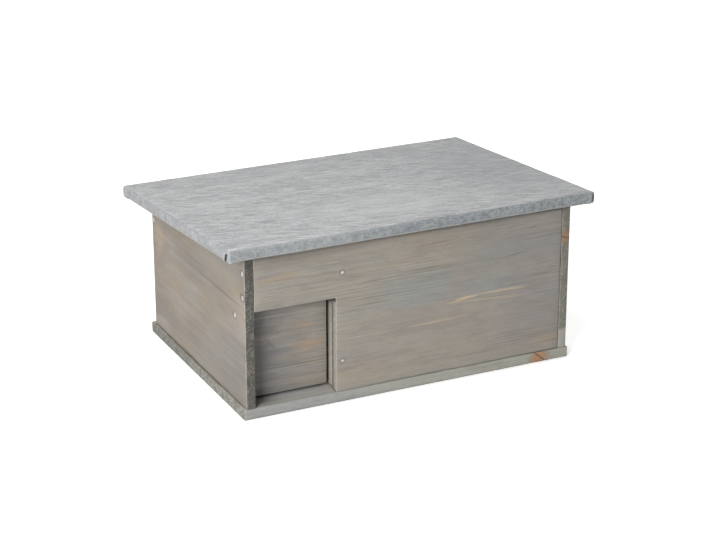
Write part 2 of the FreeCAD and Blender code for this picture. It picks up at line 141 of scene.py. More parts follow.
def evenly(low, high, step):
    """Places from low to high, about a step apart."""
    count = max(1, round((high - low) / step))
    return [low + (high - low) * i / count for i in range(count + 1)]


def waves(place, per_metre, shift):
    """Smooth noise from -1 to 1, with so many waves to the metre."""
    return noise.noise(place * per_metre + Vector(shift))


def corners_of(places):
    """Lowest and highest corner of the box round some points."""
    return [Vector([pick(numbers) for numbers in zip(*places)]) for pick in (min, max)]


def add_object(name, data):
    made = bpy.data.objects.new(name, data)
    bpy.context.scene.collection.objects.link(made)
    return made


def add_mesh(name, mesh):
    """Turn a bmesh into an object."""
    data = bpy.data.meshes.new(name)
    mesh.to_mesh(data)
    mesh.free()
    return add_object(name, data)


def new_piece(name, mesh, finish, body):
    """Turn a bmesh into a piece that rides on a body."""
    piece = add_mesh(name, mesh)
    piece.data.materials.append(finish)
    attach(piece, body)
    return piece


# Finishes

WHITE = colour(255, 255, 255)
FLOOR_GREY = colour(238, 238, 238)

# The Mix node's colour sockets, by number because its other sockets share their names
MIX_BELOW = 6
MIX_ABOVE = 7
MIX_RESULT = 2
NOISE_MIDDLE = 0.5


class Nodes:
    """A node tree, with a short call for each kind of step.

    values holds the noises and other numbers that finishes follow, which the calls also take by name.
    """

    def __init__(self, tree):
        self.tree = tree
        self.values = {}

    def feed(self, socket, value):
        """Give a socket a plain value, a link or a named value."""
        if isinstance(value, str):
            value = self.values[value]
        if isinstance(value, bpy.types.NodeSocket):
            self.tree.links.new(value, socket)
        else:
            socket.default_value = value

    def put(self, kind, inputs, output=0, **settings):
        """Add a shader node and return one of its outputs."""
        node = self.tree.nodes.new("ShaderNode" + kind)
        for setting, value in settings.items():
            setattr(node, setting, value)
        for socket, value in inputs.items():
            self.feed(node.inputs[socket], value)
        return node.outputs[output]

    def maths(self, operation, *values):
        return self.put("Math", dict(enumerate(values)), operation=operation)

    def vector(self, operation, *values):
        return self.put("VectorMath", dict(enumerate(values)), operation=operation)

    def join(self, x, y, z):
        return self.put("CombineXYZ", {"X": x, "Y": y, "Z": z})

    def part(self, vector, axis):
        return self.put("SeparateXYZ", {"Vector": vector}, axis)

    def length(self, vector):
        return self.put("VectorMath", {0: vector}, "Value", operation="LENGTH")

    def reach(self, aside, above):
        return self.length(self.join(aside, above, 0.0))

    def place(self):
        """The point's place on the object, which goes with it when it moves."""
        return self.put("TexCoord", {}, "Object")

    def normal(self):
        return self.put("TexCoord", {}, "Normal")

    def attribute(self, name):
        return self.put("Attribute", {}, "Fac", attribute_name=name)

    def openness(self, reach, samples=8):
        """1 in the open, less where other surfaces are within reach."""
        return self.put("AmbientOcclusion", {"Distance": reach}, "AO", samples=samples)

    def seen_by_eye(self):
        """1 for what the camera, a reflection or a see-through surface shows, 0 for light on the object."""
        total = self.put("LightPath", {}, "Is Camera Ray")
        for output in ("Is Glossy Ray", "Is Transmission Ray"):
            total = self.maths("MAXIMUM", total, self.put("LightPath", {}, output))
        return total

    def noise(self, place, stretch, detail=2.0, roughness=0.5):
        """Cloudy noise, with so many clouds to the metre along each axis."""
        scaled = self.vector("MULTIPLY", place, stretch)
        inputs = {"Vector": scaled, "Scale": 1.0, "Detail": detail, "Roughness": roughness}
        return self.put("TexNoise", inputs)

    def span(self, value, low, high, start=0.0, end=1.0):
        """A smooth step from start to end, while a value goes from low to high."""
        inputs = {"Value": value, "From Min": low, "From Max": high, "To Min": start, "To Max": end}
        return self.put("MapRange", inputs, interpolation_type="SMOOTHSTEP")

    def off(self, value, middle, half_size):
        """How far a value is from a middle, in half sizes."""
        return self.maths("DIVIDE", self.maths("SUBTRACT", value, middle), half_size)

    def fray(self, distance, ragged, amount):
        """Make a distance uneven by a noise."""
        uneven = self.maths("SUBTRACT", ragged, NOISE_MIDDLE)
        return self.maths("MULTIPLY_ADD", uneven, amount, distance)

    def blend(self, factor, below, above):
        """Lay one colour over another."""
        inputs = {"Factor": factor, MIX_BELOW: below, MIX_ABOVE: above}
        return self.put("Mix", inputs, MIX_RESULT, data_type="RGBA")

    def lay(self, base, tone, value, low, high, strength=1.0, within=None):
        """Lay a tone over a base, from none up to a strength, while a value goes from low to high.

        within is a share that the strength is multiplied by, from place to place.
        """
        factor = self.span(value, low, high, 0.0, strength)
        if within is not None:
            factor = self.maths("MULTIPLY", factor, within)
        return self.blend(factor, base, tone)

    def lay_all(self, base, layers, share=1.0, within=None):
        """Lay a list of tones over a base, at a share of their strengths."""
        for tone, value, low, high, strength in layers:
            base = self.lay(base, tone, value, low, high, strength * share, within)
        return base

    def bump(self, height, distance, strength):
        return self.put("Bump", {"Height": height, "Distance": distance, "Strength": strength}, "Normal")


class Finish(Nodes):
    """The node tree of one material."""

    def __init__(self, name):
        self.material = bpy.data.materials.new(name)
        self.material.use_nodes = True
        super().__init__(self.material.node_tree)
        self.shader = self.tree.nodes["Principled BSDF"]

    def surface(self, base, roughness, bumped=None, **plain):
        """Connect the shader, with plain values for what is the same all over."""
        self.feed(self.shader.inputs["Base Color"], base)
        self.feed(self.shader.inputs["Roughness"], roughness)
        if bumped is not None:
            self.feed(self.shader.inputs["Normal"], bumped)
        for socket, value in plain.items():
            self.shader.inputs[socket.replace("_", " ")].default_value = value
        return self.material


# Wood

WASH_COOL = colour(148, 145, 138)
WASH_WARM = colour(160, 153, 142)
WASH_GREEN = colour(148, 148, 141)
WASH_PINK = colour(154, 146, 139)
WASH_BLUE = colour(146, 150, 149)
WASH_PURPLE = colour(147, 142, 139)
WASH_GREY = colour(123, 121, 118)
WASH_TAN = colour(170, 152, 130)
SIDE_COOL = colour(126, 120, 113)
SIDE_WARM = colour(145, 133, 119)
BASE_COOL = colour(168, 168, 158)
BASE_WARM = colour(181, 178, 167)
BASE_BLUE = colour(153, 156, 158)
BASE_PALE = colour(172, 174, 177)
# Dark grain, also laid as painted shade under the eave and along the foot of the left wall
DARK_GRAIN_AND_SHADE = colour(108, 101, 94)
GRAIN_PALE = colour(186, 177, 164)
STREAK_TAN = colour(202, 180, 150)
STREAK_ORANGE = colour(180, 150, 116)
KNOT_CORE = colour(186, 136, 96)
KNOT_RIM = colour(104, 78, 60)
END_DARK = colour(88, 87, 83)
END_MID = colour(122, 120, 113)
END_PALE = colour(160, 156, 145)
# Pale wood of rubbed arrises, also laid as painted light on the front of the partition
ARRIS_PALE_AND_LIGHT = colour(188, 182, 170)
# Bluish painted shade: the left wall's shadow on the flap and on the entrance floor
PAINTED_SHADE_BLUE = colour(110, 112, 116)
# Dark of seams and cracks, also laid as painted shade in joints, under the roof and round the entrance
SEAM_AND_SHADE_DARK = colour(44, 40, 36)

# Noises that follow the grain: a shift that sets each apart, clouds to the metre along the grain and
# across it, detail and roughness
GRAIN_NOISES = {
    "drift": ((0, 0, 0), 3.1, 11, 2.0, 0.5),
    "fibre": ((0, 0, 0), 6, 560, 4.0, 0.7),
    "fine": ((0, 0, 0), 60, 1200, 2.0, 0.5),
    "dash": ((2, 7, 3), 30, 480, 2.0, 0.5),
    "patch": ((0, 0, 0), 6, 17, 4.0, 0.6),
    "tint": ((5, 3, 1), 6, 14, 3.0, 0.5),
    "shade": ((9, 2, 4), 7, 46, 3.0, 0.6),
    "cover": ((1, 8, 6), 3.5, 15, 3.0, 0.5),
    "band": ((4, 1, 9), 3, 60, 3.0, 0.5),
    "mottle": ((6, 5, 2), 38, 95, 3.0, 0.6),
}

# Layers are tone, the value that it follows, where the tone begins and is full, and strength.
# LINE_LAYERS are hidden in some stretches of a board, and RING_LAYERS show on its ends.
WASH_LAYERS = [
    (WASH_GREEN, "tint", 0.52, 0.7, 0.4),
    (WASH_PINK, "tint", 0.48, 0.32, 0.5),
]
BAND_LAYERS = [
    (WASH_BLUE, "band", 0.5, 0.68, 0.3),
    (WASH_PINK, "band", 0.48, 0.32, 0.35),
    (DARK_GRAIN_AND_SHADE, "mottle", 0.5, 0.72, 0.14),
    (GRAIN_PALE, "mottle", 0.48, 0.28, 0.12),
]
LINE_LAYERS = [
    (DARK_GRAIN_AND_SHADE, "shade", 0.5, 0.75, 0.17),
    (GRAIN_PALE, "shade", 0.48, 0.28, 0.16),
    (DARK_GRAIN_AND_SHADE, "late", 0.0, 1.0, 0.08),
    (DARK_GRAIN_AND_SHADE, "fibre", 0.5, 0.7, 0.56),
    (GRAIN_PALE, "fibre", 0.46, 0.28, 0.42),
    (DARK_GRAIN_AND_SHADE, "dash", 0.64, 0.76, 0.4),
]
FINE_LAYERS = [(DARK_GRAIN_AND_SHADE, "fine", 0.56, 0.72, 0.32)]
RING_LAYERS = [
    (END_PALE, "ring", 0.45, 0.1, 0.14),
    (END_DARK, "late", 0.0, 1.0, 0.12),
]

# How far a board's noises are shifted for each step of its seed
SEED_SHIFT = (1.37, 0.61, 0.23)

# How far the grain wanders, and the growth rings, with where in a ring its dark line rises and falls
GRAIN_WANDER = 14 * MM
RING_SPACING = 3.6 * MM
RING_WAVES = (90, 1, 1)
RING_UNEVEN = 2.2
LATE_RISE = (0.3, 0.88)
LATE_FALL = (1.0, 0.93)

# How ragged patches and marks are, and how far out, in half sizes, they begin and are full
PATCH_FRAY = 1.6
PATCH_EDGE = (1.25, 0.3)
MARK_FRAY = 1.2
MARK_EDGE = (1.1, 0.1)
END_FRAY = 0.45
END_EDGE = (1.0, 0.7)

# How ragged knots are, their rings and their cracks
KNOT_SPECKLE_FRAY = 1.7
KNOT_SHADE_FRAY = 1.6
KNOT_RINGS = 3.0
CRACK_WANDER = 2 * MM
CRACK_EDGE = (0.9 * MM, 0.3 * MM)
CRACK_STRENGTH = 0.8

# How near surfaces get dirt and painted shade, the lines' share that the wash leaves, how deep late wood is
# sunk
DIRT_AND_SHADE_REACH = 5 * MM
HIDDEN_LINES = 0.3
LATE_DIP = 0.35


class Pine(Finish):
    """Grey-washed pine cut from one log: its growth rings give lines on its faces and arcs on its ends.

    axes are those of the grain and of the board's thickness. pith is the log's middle, across the grain and
    through the thickness. Length is along the grain, height across it and depth through the thickness.
    """

    def __init__(self, name, axes, seed, pith):
        super().__init__(name)
        self.along, face = axes
        across = next(axis for axis in "XYZ" if axis not in axes)
        self.spot = self.place()
        for value, axis in (("length", self.along), ("height", across), ("depth", face)):
            self.values[value] = self.part(self.spot, axis)
        grain = self.join("length", "height", "depth")
        grain = self.vector("ADD", grain, [seed * shift for shift in SEED_SHIFT])
        for value, (shift, lengthwise, crosswise, detail, roughness) in GRAIN_NOISES.items():
            shifted = self.vector("ADD", grain, shift)
            stretch = (lengthwise, crosswise, crosswise)
            self.values[value] = self.noise(shifted, stretch, detail, roughness)
        self.values["speckle"] = self.noise(self.spot, (480, 480, 480), detail=3.0, roughness=0.65)
        self.values["blotch"] = self.noise(self.spot, (140, 140, 95), detail=4.0, roughness=0.72)
        self.grow_rings(*pith)

    def grow_rings(self, pith_height, pith_depth):
        """Growth rings about the pith, each with a pale early part and a dark late line."""
        above = self.maths("SUBTRACT", self.fray("height", "drift", GRAIN_WANDER), pith_height)
        reach = self.reach(above, self.maths("SUBTRACT", "depth", pith_depth))
        uneven = self.noise(self.join(reach, 0.0, 0.0), RING_WAVES)
        uneven = self.maths("MULTIPLY", uneven, RING_UNEVEN)
        ring = self.maths("FRACT", self.maths("MULTIPLY_ADD", reach, 1 / RING_SPACING, uneven))
        self.values["ring"] = ring
        rise = self.span(ring, *LATE_RISE)
        self.values["late"] = self.maths("MULTIPLY", rise, self.span(ring, *LATE_FALL))

    def wash(self, tones, patches):
        """The wash lies in soft patches of warm, cool, greenish and pinkish grey, and in given ones.

        Some given patches are painted shade, and one is painted light.
        """
        cool, warm = tones
        base = self.lay(cool, warm, "patch", 0.34, 0.66)
        base = self.lay_all(base, WASH_LAYERS)
        for tone, length, height, half_length, half_height, strength in patches:
            aside = self.off("length", length, half_length)
            above = self.off("height", height, half_height)
            far = self.fray(self.reach(aside, above), "shade", PATCH_FRAY)
            base = self.lay(base, tone, far, *PATCH_EDGE, strength)
        return base

    def draw_lines(self, base, lines):
        """Lines show in some stretches of the board and are hidden by the wash in others."""
        base = self.lay_all(base, BAND_LAYERS, lines)
        shown = self.span("cover", 0.42, 0.6, HIDDEN_LINES * lines, lines)
        base = self.lay_all(base, LINE_LAYERS, within=shown)
        return self.lay_all(base, FINE_LAYERS, lines)

    def draw_marks(self, base, marks):
        """Bare streaks and dark dashes are bundles of fibres; some given dark marks are painted shade."""
        stringy = self.span("fibre", 0.62, 0.42, 0.3, 1.0)
        for tone, length, height, half_length, half_width, tilt, strength in marks:
            offset = self.maths("SUBTRACT", "length", length)
            levelled = self.maths("MULTIPLY_ADD", offset, -tilt, "height")
            aside = self.maths("DIVIDE", offset, half_length)
            above = self.off(levelled, height, half_width)
            far = self.fray(self.reach(aside, above), "fibre", MARK_FRAY)
            base = self.lay(base, tone, far, *MARK_EDGE, strength, stringy)
        return base

    def show_ends(self, base, tones, patches):
        """End grain drinks more of the wash, and shows the rings as arcs.

        Some given end patches are painted shade.
        """
        dark, mid = tones
        end_tone = self.lay(dark, mid, "speckle", 0.36, 0.66)
        end_tone = self.lay(end_tone, dark, "blotch", 0.49, 0.62, 0.85)
        end_tone = self.lay(end_tone, END_PALE, "blotch", 0.45, 0.33, 0.5)
        for tone, height, depth, half_height, half_depth, strength in patches:
            above = self.maths("ABSOLUTE", self.off("height", height, half_height))
            inward = self.maths("ABSOLUTE", self.off("depth", depth, half_depth))
            far = self.fray(self.maths("MAXIMUM", above, inward), "blotch", END_FRAY)
            end_tone = self.lay(end_tone, tone, far, *END_EDGE, strength)
        end_tone = self.lay_all(end_tone, RING_LAYERS)
        toward_end = self.maths("ABSOLUTE", self.part(self.normal(), self.along))
        return self.lay(base, end_tone, toward_end, 0.6, 0.9)

    def grow_knot(self, base, centre, radii, across_crack, strength):
        """A brown knot with a dark rim, rings of its own and a crack."""
        there = self.vector("SUBTRACT", self.spot, centre)
        far = self.length(self.vector("DIVIDE", there, radii))
        ragged = self.fray(far, "speckle", KNOT_SPECKLE_FRAY)
        ragged = self.fray(ragged, "shade", KNOT_SHADE_FRAY)
        base = self.lay(base, KNOT_RIM, ragged, 1.5, 0.8, 0.35 * strength)
        base = self.lay(base, KNOT_CORE, ragged, 1.2, 0.35, strength)
        rings = self.maths("FRACT", self.maths("MULTIPLY", far, KNOT_RINGS))
        base = self.lay(base, KNOT_RIM, rings, 0.5, 0.95, 0.45 * strength, self.span(far, 1.0, 0.7))
        aside = self.put("VectorMath", {0: there, 1: across_crack}, "Value", operation="DOT_PRODUCT")
        aside = self.maths("ABSOLUTE", self.fray(aside, "speckle", CRACK_WANDER))
        return self.lay(base, SEAM_AND_SHADE_DARK, aside, *CRACK_EDGE, CRACK_STRENGTH, self.span(far, 0.95, 0.7))

    def weather(self, base, rub, dirt_and_shade):
        """Rubbed arrises are paler, and joints and corners are darkened by dirt and painted shade."""
        patchy = self.span("shade", 0.35, 0.6, 0.1 * rub, 0.5 * rub)
        rubbed = self.maths("MULTIPLY", self.attribute("arris"), patchy)
        base = self.blend(rubbed, base, ARRIS_PALE_AND_LIGHT)
        return self.lay(base, SEAM_AND_SHADE_DARK, self.openness(DIRT_AND_SHADE_REACH), 0.78, 0.42, dirt_and_shade)

    def connect(self, base):
        """Give the surface its colour, with raised fibres and sunk ring lines."""
        height = self.maths("MULTIPLY_ADD", "late", -LATE_DIP, self.maths("ADD", "fibre", "fine"))
        bumped = self.bump(height, distance=0.3 * MM, strength=0.4)
        roughness = self.span("fibre", 0.2, 0.8, 0.62, 0.82)
        return self.surface(base, roughness, bumped, Specular_IOR_Level=0.3)


def pine(
    name, axes, seed, pith, wash=(WASH_COOL, WASH_WARM), lines=1.0, rub=1.0, dirt_and_shade=0.95,
    end_tones=(END_DARK, END_MID), end_patches=(), patches=(), marks=(), knots=(),
):
    """One board's finish. The comment above BOARDS says what the values are."""
    wood = Pine(name, axes, seed, pith)
    base = wood.wash(wash, patches)
    base = wood.draw_lines(base, lines)
    base = wood.draw_marks(base, marks)
    base = wood.show_ends(base, end_tones, end_patches)
    for knot in knots:
        base = wood.grow_knot(base, *knot)
    base = wood.weather(base, rub, dirt_and_shade)
    return wood.connect(base)


# Felt and metal

FELT_DARK = colour(150, 152, 154)
FELT_MID = colour(181, 182, 183)
FELT_LIGHT = colour(205, 206, 206)
FELT_EDGE = colour(112, 119, 123)
FELT_EDGE_LIGHT = colour(164, 169, 171)
FELT_SIDE_SHADE = colour(144, 145, 147)
FELT_HEM = colour(184, 182, 172)
FELT_UNDER_SHADE = colour(118, 120, 122)
SLIT_SHADE = colour(36, 37, 39)
GRIME_AND_SHADE = colour(58, 55, 50)

# Directions of the fibres in degrees, and their clouds to the metre along and across
STREAK_TURNS = [-4, 14, 26, 41]
STREAK_STRETCH = (32, 300, 300)
THREAD_TURNS = [10, 57, 98, 149]
THREAD_STRETCH = (95, 1000, 1000)
TURN_SHIFT = (0.83, 0.29, 0.11)

FELT_LAYERS = [
    (FELT_MID, "streaks", 0.2, 0.5, 1.0),
    (FELT_LIGHT, "streaks", 0.5, 0.8, 1.0),
    (FELT_DARK, "threads", 0.5, 0.2, 0.6),
    (FELT_LIGHT, "threads", 0.5, 0.8, 0.6),
    (FELT_DARK, "cloud", 0.5, 0.72, 0.4),
    (FELT_LIGHT, "cloud", 0.48, 0.3, 0.4),
]

# Painted shade to the right and the back, painted light at the front: tone, middle, half sizes and strength
FELT_LIGHT_FALLOFF = [
    (FELT_DARK, (0.21, 0.02, 0.21), (0.11, 0.17, 0.1), 0.34),
    (FELT_DARK, (0.02, 0.15, 0.2), (0.22, 0.06, 0.1), 0.12),
    (FELT_LIGHT, (0.01, -0.08, 0.22), (0.13, 0.07, 0.1), 0.3),
    (FELT_LIGHT, (-0.16, -0.18, 0.217), (0.13, 0.014, 0.1), 0.14),
]
FELT_PATCH_FRAY = 1.2
FELT_PATCH_EDGE = (1.3, 0.2)

HOLLOW_REACH = 1.2 * MM
DULL_ROUGHER = 0.16


def crossed(cloth, spot, turns, stretch):
    """Fibres that lie in several directions, as one height from 0 to 1."""
    total = 0.0
    for turn in turns:
        inputs = {"Vector": spot, "Angle": math.radians(turn)}
        turned = cloth.put("VectorRotate", inputs, rotation_type="Z_AXIS")
        turned = cloth.vector("ADD", turned, [turn * shift for shift in TURN_SHIFT])
        layer = cloth.span(cloth.noise(turned, stretch, detail=3.0, roughness=0.6), 0.35, 0.65)
        total = cloth.maths("ADD", total, layer)
    return cloth.maths("DIVIDE", total, len(turns))


def felt():
    """Light grey fleece-faced felt: fine fibres that lie in many directions, over soft mottling."""
    cloth = Finish("roofing_felt_fibres")
    spot = cloth.place()
    cloth.values["streaks"] = crossed(cloth, spot, STREAK_TURNS, STREAK_STRETCH)
    cloth.values["threads"] = crossed(cloth, spot, THREAD_TURNS, THREAD_STRETCH)
    cloth.values["cloud"] = cloth.noise(spot, (8, 24, 24), detail=4.0, roughness=0.62)
    cloth.values["fleck"] = cloth.noise(spot, (120, 120, 120), detail=4.0, roughness=0.7)
    base = cloth.lay_all(FELT_DARK, FELT_LAYERS)

    # Over the front and back edges the fleece is drawn tight, darker and bluer, and its hem is pale
    upright = cloth.part(cloth.normal(), "Z")
    forward = cloth.maths("ABSOLUTE", cloth.part(cloth.normal(), "Y"))
    woven = cloth.maths("MULTIPLY_ADD", "threads", 0.5, "fleck")
    edge_tone = cloth.lay(FELT_EDGE, FELT_EDGE_LIGHT, woven, 0.55, 0.95)
    flecked = cloth.span("fleck", 0.36, 0.62, 0.45, 0.95)
    # Away from the top the felt is painted darker, as shade
    base = cloth.lay(base, FELT_SIDE_SHADE, upright, 0.99, 0.78, within=flecked)
    base = cloth.lay(base, edge_tone, forward, 0.45, 0.85, 0.85)
    base = cloth.lay(base, FELT_HEM, upright, -0.15, -0.4, 0.6)
    # The underside is painted darker, as shade
    base = cloth.lay(base, FELT_UNDER_SHADE, upright, -0.5, -0.75, 0.8)

    # Painted shade to the right and the back, and painted light at the front
    for tone, middle, half_size, strength in FELT_LIGHT_FALLOFF:
        there = cloth.vector("DIVIDE", cloth.vector("SUBTRACT", spot, middle), half_size)
        far = cloth.fray(cloth.length(there), "cloud", FELT_PATCH_FRAY)
        base = cloth.lay(base, tone, far, *FELT_PATCH_EDGE, strength)
    # Painted shade in the slits of the tucked corners
    base = cloth.lay(base, SLIT_SHADE, cloth.attribute("slit"), 0.25, 0.7, 0.97)

    height = cloth.maths("MULTIPLY_ADD", "threads", 0.6, cloth.maths("MULTIPLY", "streaks", 0.5))
    bumped = cloth.bump(height, distance=0.5 * MM, strength=0.35)
    return cloth.surface(
        base, 0.92, bumped, Specular_IOR_Level=0.15, Sheen_Weight=0.05, Sheen_Roughness=0.5
    )


def zinc(name, bright, dull, roughness, rubbed=False):
    """Zinc plating with cloudy dulling and fine scratches.

    Its hollows are painted darker, as shade and grime, or, when rubbed, painted bright, as a highlight.
    """
    metal = Finish(name)
    spot = metal.place()
    cloud = metal.noise(spot, (420, 420, 420), detail=3.0)
    scratch = metal.noise(spot, (300, 2600, 2600))
    openness = metal.openness(HOLLOW_REACH)
    if rubbed:
        # The recesses are painted bright, as a highlight, and the open face is dull
        base = metal.lay(bright, dull, openness, 0.5, 0.85)
    else:
        base = metal.lay(bright, dull, cloud, 0.35, 0.7)
        # Painted shade and grime in the hollows
        base = metal.lay(base, GRIME_AND_SHADE, openness, 0.7, 0.2, 0.7)
    rough = metal.span(cloud, 0.3, 0.7, roughness, roughness + DULL_ROUGHER)
    bumped = metal.bump(scratch, distance=0.05 * MM, strength=0.3)
    return metal.surface(base, rough, bumped, Metallic=1.0)


# Planks


def lattice(lines, filled):
    """The skin of a board: quads between grid lines along X, Y and Z, round the cells that are filled."""
    mesh = bmesh.new()
    corners = {}

    def corner(index):
        if index not in corners:
            corners[index] = mesh.verts.new([lines[axis][index[axis]] for axis in range(3)])
        return corners[index]

    middles = [[(low + high) / 2 for low, high in itertools.pairwise(places)] for places in lines]
    grid = itertools.product(*(range(len(places)) for places in middles))
    cells = [cell for cell in grid if filled(*(middles[axis][cell[axis]] for axis in range(3)))]
    inside = set(cells)
    for cell in cells:
        for axis, side in itertools.product(range(3), (0, 1)):
            beside = list(cell)
            beside[axis] += 2 * side - 1
            if tuple(beside) in inside:
                continue
            ring = []
            for first, second in ((0, 0), (1, 0), (1, 1), (0, 1)):
                index = list(cell)
                index[axis] += side
                index[(axis + 1) % 3] += first
                index[(axis + 2) % 3] += second
                ring.append(corner(tuple(index)))
            mesh.faces.new(ring if side else ring[::-1])
    return mesh


def islands(mesh):
    """The separate parts of a mesh, each as a list of its points."""
    parts = []
    left = set(mesh.verts)
    while left:
        start = min(left, key=lambda vert: vert.index)
        island = {start}
        waiting = [start]
        while waiting:
            vert = waiting.pop()
            for edge in vert.link_edges:
                other = edge.other_vert(vert)
                if other not in island:
                    island.add(other)
                    waiting.append(other)
        left -= island
        parts.append([vert.co.copy() for vert in island])
    return parts


def screw_head(places):
    """A screw's head, by its points: the middle of its face, the way out of the wood, and its radius."""
    low, high = corners_of(places)
    axis = max(range(3), key=lambda index: high[index] - low[index])
    middle = (low + high) / 2

    def radius_at(end):
        ring = [place for place in places if abs(place[axis] - end) < TOUCH]
        return max(math.hypot(*(place[i] - middle[i] for i in range(3) if i != axis)) for place in ring)

    end = max((low[axis], high[axis]), key=radius_at)
    out = Vector((0, 0, 0))
    out[axis] = math.copysign(1, end - middle[axis])
    middle[axis] = end
    return middle, out, radius_at(end)


def screw_heads(node):
    """The heads of all the screws in a CAD node."""
    mesh = bmesh.new()
    mesh.from_mesh(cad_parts[node].data)
    bmesh.ops.remove_doubles(mesh, verts=mesh.verts, dist=SAME_POINT)
    heads = [screw_head(places) for places in islands(mesh)]
    mesh.free()
    return heads


def recess_cutter(screws):
    """Short cylinders over the screw heads, as one mesh."""
    mesh = bmesh.new()
    for node in screws:
        for middle, out, radius in screw_heads(node):
            turn = Vector((0, 0, 1)).rotation_difference(out).to_matrix().to_4x4()
            radius += RECESS_PLAY
            bmesh.ops.create_cone(
                mesh, cap_ends=True, segments=RECESS_SIDES, radius1=radius, radius2=radius,
                depth=2 * RECESS_DEPTH, matrix=Matrix.Translation(middle) @ turn,
            )
    return add_mesh("recess_cutter", mesh)


def sink_heads(piece, screws):
    """Cut the recesses for the screw heads into a board."""
    cutter = recess_cutter(screws)
    cut = piece.modifiers.new("recesses", "BOOLEAN")
    cut.object = cutter
    cut.operation = "DIFFERENCE"
    cut.solver = "EXACT"
    finished = bpy.data.meshes.new_from_object(piece.evaluated_get(bpy.context.evaluated_depsgraph_get()))
    piece.modifiers.clear()
    finished.name = piece.name
    piece.data = finished
    bpy.data.objects.remove(cutter)


def wear(mesh, seed):
    """Let the faces undulate and the arrises lose a little wood, inwards only, and round the arrises."""
    draw = random.Random(seed)
    mesh.normal_update()
    sharp = [edge for edge in mesh.edges if edge.calc_face_angle(0.0) > SHARP]
    on_arris = {vert for edge in sharp for vert in edge.verts}
    moves = []
    for vert in mesh.verts:
        slow = waves(vert.co, SLOW_WAVES, (seed, 0, 0))
        quick = waves(vert.co, QUICK_WAVES, (0, seed, 0))
        depth = UNEVEN * (UNEVEN_LEVEL + UNEVEN_SLOW * slow + UNEVEN_QUICK * quick)
        if vert in on_arris and draw.random() < DENT_SHARE:
            depth += DENT * draw.random()
        moves.append((vert, vert.normal * -depth))
    for vert, move in moves:
        vert.co += move
    made = bmesh.ops.bevel(
        mesh, geom=sharp, offset=ARRIS_RADIUS, segments=ARRIS_STEPS, profile=0.5,
        affect="EDGES", clamp_overlap=False,
    )
    on_round = set(made["faces"])
    rounded = mesh.verts.layers.float.new("arris")
    for vert in mesh.verts:
        vert[rounded] = float(on_round.issuperset(vert.link_faces))


def plank(node, finish, seed):
    """Rebuild a CAD board as a worn plank, the roof's in axes of its own. Its top may slope to the back."""
    axes = ROOF if node == "roof_board" else Matrix.Identity(4)
    notch = NOTCH_IN_BOARD.get(node)
    back_to_axes = axes.inverted()
    places = [back_to_axes @ vert.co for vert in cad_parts[node].data.vertices]
    low, high = corners_of(places)
    front_top = max(place.z for place in places if place.y < low.y + TOUCH)
    back_top = max(place.z for place in places if place.y > high.y - TOUCH)
    lines = [evenly(low[axis], high[axis], CELL) for axis in range(3)]
    if notch:
        lines[0] = evenly(low.x, notch[0], CELL) + evenly(notch[0], high.x, CELL)[1:]
        lines[2] = evenly(low.z, notch[1], CELL) + evenly(notch[1], high.z, CELL)[1:]
    mesh = lattice(lines, lambda x, y, z: not (notch and x < notch[0] and z < notch[1]))
    for vert in mesh.verts:
        share = (vert.co.y - low.y) / (high.y - low.y)
        top = front_top + (back_top - front_top) * share
        vert.co.z = low.z + (vert.co.z - low.z) * (top - low.z) / (high.z - low.z)
    wear(mesh, seed)
    mesh.transform(axes)
    body = BODY_OF_BOARD.get(node, "house")
    piece = new_piece(node + "_plank", mesh, finish, body)
    if node in SCREWS_IN_BOARD:
        sink_heads(piece, SCREWS_IN_BOARD[node])
    piece.data.shade_smooth()
    piece.data.set_sharp_from_angle(angle=SHARP)
    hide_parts(node)


FRONT_LOW, FRONT_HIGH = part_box("front_wall")
BASE_LOW, BASE_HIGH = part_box("base_board")
LEFT_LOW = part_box("left_wall")[0]
RIGHT_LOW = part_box("right_wall")[0]
BACK_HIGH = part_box("back_wall")[1]


def entrance_corner():
    """The entrance's right edge and top, from the front wall's own corners."""
    places = [vert.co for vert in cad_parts["front_wall"].data.vertices]
    bottom = [place.x for place in places if place.z < FRONT_LOW.z + TOUCH]
    left = [place.z for place in places if place.x < FRONT_LOW.x + TOUCH]
    return min(bottom), min(left)


JAMB_X, LINTEL_Z = entrance_corner()

# A notch is the right edge and the top of an opening at a board's lower left
NOTCH_IN_BOARD = {"front_wall": (JAMB_X, LINTEL_Z)}
BODY_OF_BOARD = {"entrance_flap": "flap", "roof_board": "roof"}
SCREWS_IN_BOARD = {
    "front_wall": ["front_wall_screws"],
    "left_wall": ["left_wall_front_screws", "left_wall_back_screw", "flap_pivot_screw_left"],
    "right_wall": ["right_wall_front_screws", "right_wall_back_screw"],
    "partition_wall": ["flap_pivot_screw_right"],
    "base_board": [f"base_{wall}_screws" for wall in ("left", "right", "front", "back", "partition")],
}

# Painted shade round the left wall's screw heads: its shift to the back and its half sizes, in head radii
HALO_BEHIND = 0.4
HALO_LENGTH = 2.0
HALO_HEIGHT = 1.5
HALO_STRENGTH = 0.6


def painted_shade_halos(screws):
    """Patches of painted shade round the heads of screws in a side wall."""
    patches = []
    for node in screws:
        for middle, _, radius in screw_heads(node):
            length = middle.y + HALO_BEHIND * radius
            half_sizes = (HALO_LENGTH * radius, HALO_HEIGHT * radius)
            patches.append((SEAM_AND_SHADE_DARK, length, middle.z, *half_sizes, HALO_STRENGTH))
    return patches
